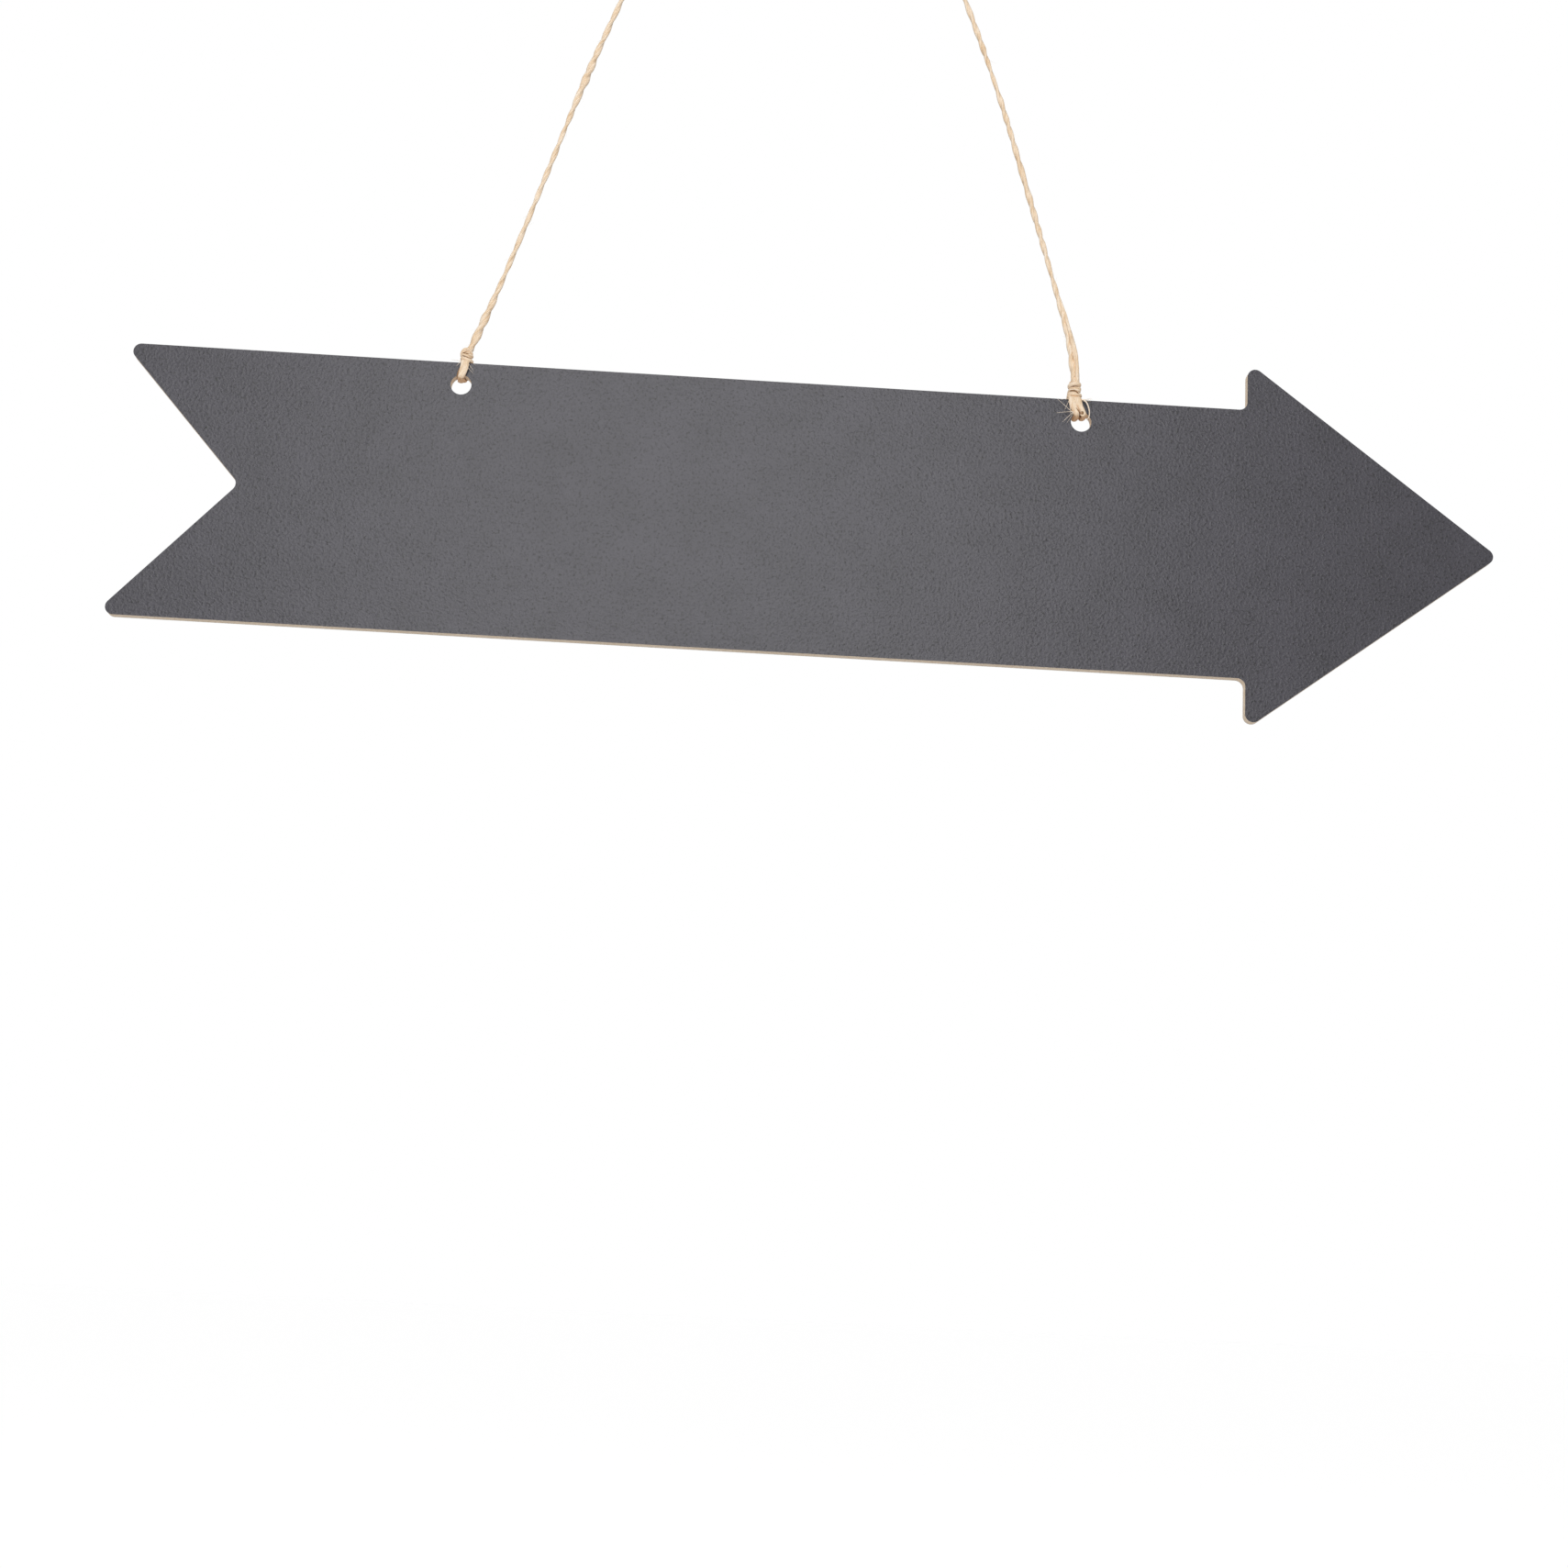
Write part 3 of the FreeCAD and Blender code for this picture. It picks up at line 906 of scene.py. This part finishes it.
def left_knot(material: bpy.types.Material) -> Knot:
    """The left knot: one flattened strand through the hole under an arch and two turns."""
    return Knot(
        material, "left_knot_of_twine", Side.LEFT,
        strands=[
            hole_loop(0.85, (-0.25, 2.2), 2.7, 0.48),
            Strand([(2.5, 0.0, 13.4), (1.8, 0.0, 11.8), (1.1, 0.0, 10.4), (1.0, 0.0, 7.6)],
                   2.5, 1.0, tapers_mm=(3.0, 0.0)),
            Strand([(-0.2, 0.6, 8.6), (-0.6, -0.4, 9.3), (-0.3, -1.1, 10.5),
                    (0.7, -1.3, 11.1), (1.6, -1.1, 10.8), (2.3, -0.3, 9.9), (2.1, 0.5, 9.3)],
                   1.25, 0.9, tapers_mm=(1.0, 1.0)),
            # Three thin dark strands are painted shade: two in the grooves between the turns and
            # one in the gap beside the leg.
            Strand([(-0.3, -1.9, 9.75), (0.4, -2.1, 9.5), (1.2, -2.15, 9.3),
                    (2.0, -1.8, 9.35)], 0.42, 1.0, tapers_mm=(0.8, 0.8), tone=Tone.PAINTED_SHADE),
            Strand([(-0.4, -1.6, 8.95), (0.4, -2.25, 8.55), (1.2, -2.4, 8.2),
                    (2.1, -2.0, 7.8)], 0.3, 1.0, tapers_mm=(0.8, 0.8), tone=Tone.PAINTED_SHADE),
            Strand([(-0.55, -1.85, 5.6), (-0.75, -1.9, 4.6), (-1.1, -1.85, 3.6),
                    (-1.35, -1.65, 2.3)], 0.4, 1.0, tapers_mm=(1.5, 0.8), tone=Tone.PAINTED_SHADE),
            Winding((1.0, -0.4, 10.05), 0.0, (1.3, 1.44), 2.1, 1.35, (18.0, 23.5), 200.0,
                    1.5).strand()],
        hairs=[
            Hair((2.3, -1.7, 7.4), (1.0, -0.5, -0.9), 2.4, 0.3),
            Hair((1.9, -2.4, 6.0), (0.7, -0.4, -1.0), 3.0, 0.15),
            Hair((1.6, -2.5, 5.0), (0.8, -0.4, -0.9), 3.4, 0.15),
            Hair((-0.4, -1.9, 7.1), (-1.0, -0.3, -0.1), 2.9, 0.15, 0.17),
            Hair((-0.6, -2.1, 6.9), (-0.45, -0.3, -1.0), 2.4, 0.2, 0.17)])


def right_knot(material: bpy.types.Material) -> Knot:
    """The right knot: two strands through the hole, three turns and a free end."""
    return Knot(
        material, "right_knot_of_twine", Side.RIGHT,
        strands=[
            hole_loop(-3.0, (-1.4, 1.75), 2.15, 0.56),
            hole_loop(-1.5, (0.9, 2.05), 2.25, 0.56),
            Strand([(-2.3, 0.0, 14.4), (-2.15, 0.0, 12.8), (-2.0, 0.0, 11.0),
                    (-2.0, 0.0, 8.6)], 2.6, 1.0, tapers_mm=(1.6, 0.0)),
            Winding((-2.1, -0.3, 12.6), -2.5, (1.25, 1.6), 3.2, 1.6, (0.0, 16.0), 190.0,
                    1.75).strand(),
            # Two thin dark strands across the turns are painted shade in the grooves between
            # them.
            Strand([(-3.2, -1.9, 10.4), (-2.3, -2.35, 10.75), (-1.1, -2.1, 10.6)],
                   0.28, 1.0, tapers_mm=(0.8, 0.8), tone=Tone.PAINTED_SHADE),
            Strand([(-3.7, -1.8, 9.2), (-2.6, -2.6, 9.35), (-1.6, -2.55, 8.8),
                    (-0.6, -1.9, 8.0)], 0.42, 1.0, tapers_mm=(0.8, 0.8), tone=Tone.PAINTED_SHADE),
            Strand([(-1.3, -0.6, 11.8), (-1.2, -0.7, 14.2), (-1.55, -0.8, 18.5),
                    (-2.8, -0.85, 24.5), (-4.9, -0.8, 31.5), (-6.9, -0.6, 37.5),
                    (-8.2, -0.4, 41.5)], 1.5, 1.0, tapers_mm=(0.0, 14.0)),
            Strand([(-0.65, -2.9, 2.6), (0.0, -3.2, 3.0), (0.7, -3.2, 2.5),
                    (0.7, -3.2, 1.6), (0.1, -3.15, 1.2), (-0.55, -2.95, 1.7)],
                   0.55, 1.0, tapers_mm=(0.8, 0.8)),
            # A short dark plug is painted shade in the eye of the curl, and the thin dark strand
            # after it is painted shade in the groove between the legs.
            Strand([(0.15, -2.4, 2.2), (0.15, -3.15, 2.15)], 0.75, 1.0, tone=Tone.PAINTED_SHADE),
            Strand([(-2.3, -2.6, 4.4), (-1.1, -2.95, 3.0), (-0.6, -2.95, 1.9)],
                   0.24, 1.0, tapers_mm=(1.0, 1.0), tone=Tone.PAINTED_SHADE),
            Strand([(-0.7, -2.4, 6.6), (0.3, -2.35, 6.6), (1.2, -2.5, 5.9), (1.9, -2.7, 4.3),
                    (2.25, -2.6, 2.6), (2.15, -2.3, 1.1), (1.5, -1.6, 0.5)], 0.38, 1.0,
                   tapers_mm=(1.0, 1.0), tone=Tone.PALE)],
        hairs=[
            Hair((-2.4, -2.5, 2.1), (-1.0, -0.1, 0.8), 6.3, 0.12, 0.2),
            Hair((-2.4, -2.5, 2.65), (-1.0, -0.1, -0.13), 5.1, 0.1, 0.19),
            Hair((-2.35, -2.5, 2.7), (-0.9, -0.1, -1.0), 5.0, 0.1, 0.2),
            Hair((-2.3, -2.45, 2.6), (-0.5, -0.1, -1.0), 4.3, 0.15, 0.15),
            Hair((-3.65, -2.5, 5.2), (0.1, -0.2, -1.0), 4.4, 0.1, 0.22),
            Hair((-3.7, -2.2, 6.4), (-0.35, -0.2, -1.0), 4.2, 0.15, 0.17),
            Hair((-3.8, -2.0, 6.8), (-1.0, -0.2, -0.3), 2.4, 0.2, 0.15),
            Hair((0.2, -2.2, 6.6), (1.0, -0.2, 0.05), 2.7, 0.2, 0.17),
            Hair((0.1, -2.2, 6.3), (1.0, -0.2, 0.2), 3.0, 0.15, 0.17),
            Hair((0.4, -2.3, 6.0), (1.0, -0.2, 0.1), 2.3, 0.3)])


# Studio

@dataclass(frozen=True)
class SoftLamp:
    """A soft square lamp.

    Attributes:
        name: its name.
        place: where it stands, in metres.
        target: the point it faces, in metres.
        side: the length of its side in metres.
        watts: its power.
    """

    name: str
    place: tuple[float, float, float]
    target: tuple[float, float, float]
    side: float
    watts: float

    def add(self) -> None:
        """Adds the lamp to the scene."""
        data = bpy.data.lights.new(self.name, "AREA")
        data.size = self.side
        data.energy = self.watts
        lamp = bpy.data.objects.new(self.name, data)
        bpy.context.scene.collection.objects.link(lamp)
        aim = Vector(self.target) - Vector(self.place)
        lamp.matrix_world = (Matrix.Translation(self.place)
                             @ aim.to_track_quat("-Z", "Y").to_matrix().to_4x4())


@dataclass(frozen=True)
class Studio:
    """The white room: floor, soft lamps, white surroundings and the camera."""

    focal_pixels: float = 2500.0
    sensor_mm: float = 36.0
    camera_mm: tuple = (-12.15, -631.16, -438.84)
    turn_left: float = -1.733
    look_up: float = 11.596
    roll: float = 2.805
    floor_mm: float = -620.0
    floor_size: float = 12.0
    floor_colour: str = "#f4f4f4"
    floor_lift: float = 0.56
    world_light: float = 0.42
    lamps: tuple[SoftLamp, ...] = (
        SoftLamp("key_softbox", (-0.064, -0.85, 0.04), (-0.03, 0.0, -0.22), 0.62, 4.8),
        SoftLamp("fill_from_left", (-1.1, -0.9, -0.3), (0.0, 0.0, -0.2), 0.9, 1.2),
    )

    def build(self) -> None:
        """Sets up the whole room."""
        self.camera()
        self.floor()
        self.surroundings()
        for lamp in self.lamps:
            lamp.add()
        bpy.context.scene.view_settings.view_transform = "Standard"

    def camera(self) -> None:
        """Places the camera at the photograph's angle, with the photograph's field."""
        data = bpy.data.cameras.new("camera")
        data.sensor_fit = "HORIZONTAL"
        data.sensor_width = self.sensor_mm
        data.lens = self.sensor_mm * self.focal_pixels / PHOTO_PIXELS
        data.dof.use_dof = False
        data.clip_start = 0.01
        camera = bpy.data.objects.new("camera", data)
        bpy.context.scene.collection.objects.link(camera)
        camera.matrix_world = (
            Matrix.Translation(Vector(self.camera_mm) * MM)
            @ Matrix.Rotation(math.radians(self.turn_left), 4, "Z")
            @ Matrix.Rotation(math.radians(90 + self.look_up), 4, "X")
            @ Matrix.Rotation(math.radians(self.roll), 4, "Z"))
        bpy.context.scene.camera = camera

    def floor(self) -> None:
        """Lays a plain pale floor far enough under the sign to stay out of its way."""
        bpy.ops.object.select_all(action="DESELECT")
        bpy.ops.mesh.primitive_plane_add(size=self.floor_size,
                                         location=(0, 0, self.floor_mm * MM))
        floor = bpy.context.object
        floor.name = "floor"
        material, tree = new_material("pale_studio_floor")
        surface = add_node(tree, "ShaderNodeBsdfPrincipled", {},
                           {"Base Color": hex_colour(self.floor_colour), "Roughness": 0.9})
        path = add_node(tree, "ShaderNodeLightPath")
        seen = add_node(tree, "ShaderNodeMath", {"operation": "MULTIPLY"},
                        {0: path.outputs["Is Camera Ray"], 1: self.floor_lift})
        lift = add_node(tree, "ShaderNodeEmission", {}, {"Strength": seen.outputs[0]})
        both = add_node(tree, "ShaderNodeAddShader", {},
                        {0: surface.outputs["BSDF"], 1: lift.outputs["Emission"]})
        add_node(tree, "ShaderNodeOutputMaterial", {}, {"Surface": both.outputs[0]})
        floor.data.materials.append(material)

    def surroundings(self) -> None:
        """White for what the camera and reflections see, a plain level for light."""
        world = bpy.data.worlds.new("white_room")
        world.use_nodes = True
        tree = world.node_tree
        tree.nodes.clear()
        path = add_node(tree, "ShaderNodeLightPath")
        seen = add_node(tree, "ShaderNodeMath", {"operation": "MAXIMUM"},
                        {0: path.outputs["Is Camera Ray"], 1: path.outputs["Is Glossy Ray"]})
        seen = add_node(tree, "ShaderNodeMath", {"operation": "MAXIMUM"},
                        {0: seen.outputs[0], 1: path.outputs["Is Transmission Ray"]})
        strength = add_node(tree, "ShaderNodeMapRange", {},
                            {"Value": seen.outputs[0], "To Min": self.world_light,
                             "To Max": 1.0})
        back = add_node(tree, "ShaderNodeBackground", {},
                        {"Color": (1, 1, 1, 1), "Strength": strength.outputs["Result"]})
        add_node(tree, "ShaderNodeOutputWorld", {}, {"Surface": back.outputs["Background"]})
        bpy.context.scene.world = world


def main() -> None:
    """Builds the sign and its room."""
    logging.basicConfig(level=logging.INFO, format="%(message)s")
    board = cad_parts["board"]
    finish = ChalkboardPanel().material()
    for place in board.material_slots:
        place.material = finish
    log.info("board: chalkboard coat on fibreboard")

    jute = JuteTwine().material()
    loop = TwineLoop(jute)
    twine, line = loop.build()
    knots = [left_knot(jute).build(), right_knot(jute).build()]
    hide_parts("twine")
    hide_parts("left_knot")
    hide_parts("right_knot")
    for piece in (twine, *knots):
        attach(piece, ROOT)
        log.info("%s: %d faces", piece.name, len(piece.data.polygons))
    Studio().build()


if __name__ == "__main__":
    main()
